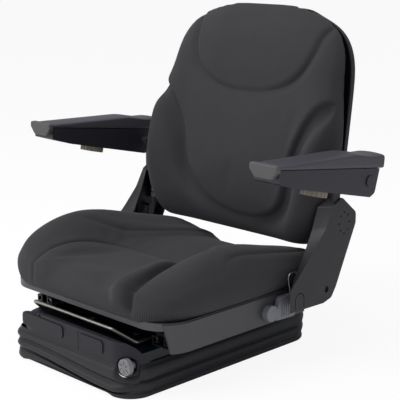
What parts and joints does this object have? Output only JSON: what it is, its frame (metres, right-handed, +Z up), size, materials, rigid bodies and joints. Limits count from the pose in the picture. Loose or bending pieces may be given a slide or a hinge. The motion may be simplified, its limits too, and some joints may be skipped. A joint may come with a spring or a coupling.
{
  "type": "tractor suspension seat",
  "caption": "Upholstered vehicle seat with bolstered cushion, tall backrest and folding armrests on a scissor suspension in a rubber bellows.",
  "frame": {"origin": "on the floor, centre of the four mounting bolts under the suspension base", "axes": "+X towards the sitter's left, -Y towards the front of the seat, +Z up"},
  "size_m": [0.669, 0.5655, 0.6439],
  "materials": {
    "black_steel": "black powder coat",
    "zinc_steel": "zinc plated",
    "roller_plastic": "natural nylon",
    "rubber": "matt",
    "cover_plastic": "fine grain",
    "paddle_plastic": "fine grain",
    "bezel": "light rim",
    "armrest_plastic": "fine grain",
    "armrest_foam": "soft skinned foam",
    "seat_cloth": "woven cloth on foam"
  },
  "bodies": {
    "base": {"base_frame": "black_steel", "lower_channel_left": "zinc_steel", "lower_channel_right": "zinc_steel", "bump_stops": "rubber", "base_pins": "zinc_steel", "bellows": "rubber"},
    "inner_arm": {"inner_scissor_frame": "black_steel", "centre_pins": "zinc_steel"},
    "inner_roller_pair": {"inner_rollers": "roller_plastic"},
    "outer_arm": {"outer_scissor_frame": "black_steel"},
    "outer_roller_pair": {"outer_rollers": "roller_plastic"},
    "damper_cylinder": {"damper_tube": "black_steel"},
    "damper_piston": {"damper_rod": "zinc_steel"},
    "suspension_top": {"upper_frame": "black_steel", "upper_flange": "black_steel", "upper_lugs": "black_steel", "upper_channel_left": "zinc_steel", "upper_channel_right": "zinc_steel", "top_pins": "zinc_steel", "front_cover": "cover_plastic", "knob_bezel": "bezel", "lower_rail_left": "zinc_steel", "lower_rail_right": "zinc_steel", "rail_balls": "zinc_steel", "rail_bolts": "zinc_steel", "tension_springs": "zinc_steel"},
    "adjuster": {"weight_knob": "cover_plastic", "adjuster_screw": "zinc_steel"},
    "yoke": {"adjuster_yoke": "black_steel"},
    "release_bar": {"slide_release_bar": "black_steel"},
    "isolator": {"isolator_lever": "cover_plastic"},
    "seat": {"upper_rail_left": "zinc_steel", "upper_rail_right": "zinc_steel", "seat_frame": "black_steel", "seat_pan": "black_steel", "side_cover_left": "cover_plastic", "side_cover_right": "cover_plastic", "seat_cushion": "seat_cloth", "recliner_left": "black_steel", "recliner_right": "black_steel"},
    "paddle": {"recline_paddle": "paddle_plastic"},
    "backrest": {"recline_plate_left": "black_steel", "recline_plate_right": "black_steel", "backrest_frame": "black_steel", "backrest_shell": "cover_plastic", "backrest_cushion": "seat_cloth", "ear_cover_left": "cover_plastic", "ear_cover_right": "cover_plastic", "return_springs": "zinc_steel", "armrest_pins": "zinc_steel"},
    "armrest_left": {"armrest_housing_left": "armrest_plastic", "armrest_pad_left": "armrest_foam", "armrest_front_cap_left": "armrest_plastic", "armrest_pivot_cap_left": "armrest_plastic"},
    "armrest_right": {"armrest_housing_right": "armrest_plastic", "armrest_pad_right": "armrest_foam", "armrest_front_cap_right": "armrest_plastic", "armrest_pivot_cap_right": "armrest_plastic"},
    "wheel_left": {"tilt_wheel_left": "cover_plastic"},
    "wheel_right": {"tilt_wheel_right": "cover_plastic"}
  },
  "joints": [
    {"name": "suspension_lift", "type": "slide", "parent": "base", "child": "suspension_top", "axis": [0, 0, 1], "range_m": [0, 0.06], "deforming": ["bellows", "tension_springs"]},
    {"name": "inner_arm_pivot", "type": "hinge", "parent": "base", "child": "inner_arm", "pos_m": [0, 0.18, 0.0156], "axis": [-1, 0, 0], "range_deg": [0, 11.9]},
    {"name": "outer_arm_pivot", "type": "hinge", "parent": "suspension_top", "child": "outer_arm", "pos_m": [0, 0.18, 0.0626], "axis": [1, 0, 0], "range_deg": [0, 11.9]},
    {"name": "inner_roller_spin", "type": "hinge", "parent": "inner_arm", "child": "inner_roller_pair", "pos_m": [0, -0.11629, 0.0626], "axis": [1, 0, 0], "continuous": true},
    {"name": "outer_roller_spin", "type": "hinge", "parent": "outer_arm", "child": "outer_roller_pair", "pos_m": [0, -0.11629, 0.0156], "axis": [1, 0, 0], "continuous": true},
    {"name": "damper_low_eye", "type": "hinge", "parent": "base", "child": "damper_cylinder", "pos_m": [0, -0.06, 0.0181], "axis": [1, 0, 0], "range_deg": [0, 14.96]},
    {"name": "damper_high_eye", "type": "hinge", "parent": "suspension_top", "child": "damper_piston", "pos_m": [0, 0.15, 0.0516], "axis": [1, 0, 0], "range_deg": [0, 14.96]},
    {"name": "weight_knob_turn", "type": "hinge", "parent": "suspension_top", "child": "adjuster", "pos_m": [0.156, -0.237, 0.0605], "axis": [0, 1, 0], "range_deg": [0, 2880]},
    {"name": "yoke_slide", "type": "slide", "parent": "suspension_top", "child": "yoke", "axis": [0, 1, 0], "range_m": [0, 0.012], "deforming": ["tension_springs"]},
    {"name": "release_bar_lift", "type": "hinge", "parent": "suspension_top", "child": "release_bar", "pos_m": [0, -0.08, 0.087], "axis": [-1, 0, 0], "range_deg": [0, 5], "stiffness_Nm_per_rad": 3, "springref_deg": -8.59},
    {"name": "isolator_lever_turn", "type": "hinge", "parent": "suspension_top", "child": "isolator", "pos_m": [-0.103, -0.217, 0.083], "axis": [0, 0, -1], "range_deg": [0, 25]},
    {"name": "seat_slide", "type": "slide", "parent": "suspension_top", "child": "seat", "axis": [0, 1, 0], "range_m": [-0.04, 0.09]},
    {"name": "recline_paddle_lift", "type": "hinge", "parent": "seat", "child": "paddle", "pos_m": [0.228, 0.052, 0.106], "axis": [1, 0, 0], "range_deg": [0, 10], "stiffness_Nm_per_rad": 1, "springref_deg": -11.46},
    {"name": "backrest_recline", "type": "hinge", "parent": "seat", "child": "backrest", "pos_m": [0, 0.173, 0.132], "axis": [-1, 0, 0], "range_deg": [-8, 20], "deforming": ["return_springs"]},
    {"name": "armrest_left_fold", "type": "hinge", "parent": "backrest", "child": "armrest_left", "pos_m": [0.303, 0.2015, 0.345], "axis": [-1, 0, 0], "range_deg": [0, 90]},
    {"name": "armrest_right_fold", "type": "hinge", "parent": "backrest", "child": "armrest_right", "pos_m": [-0.303, 0.2015, 0.345], "axis": [-1, 0, 0], "range_deg": [0, 90]},
    {"name": "tilt_wheel_left_turn", "type": "hinge", "parent": "armrest_left", "child": "wheel_left", "pos_m": [0.303, 0.08, 0.34318], "axis": [0, 0.2233, 0.9748], "range_deg": [0, 720]},
    {"name": "tilt_wheel_right_turn", "type": "hinge", "parent": "armrest_right", "child": "wheel_right", "pos_m": [-0.303, 0.08, 0.34318], "axis": [0, 0.2233, 0.9748], "range_deg": [0, 720]}
  ],
  "couplings": [
    {"joint": "inner_arm_pivot", "follows": "suspension_lift", "rad_per_m": 3.4564},
    {"joint": "outer_arm_pivot", "follows": "suspension_lift", "rad_per_m": 3.4564},
    {"joint": "damper_low_eye", "follows": "suspension_lift", "rad_per_m": 4.3449},
    {"joint": "damper_high_eye", "follows": "suspension_lift", "rad_per_m": 4.3449},
    {"joint": "weight_knob_turn", "follows": "yoke_slide", "rad_per_m": 4188.5}
  ]
}
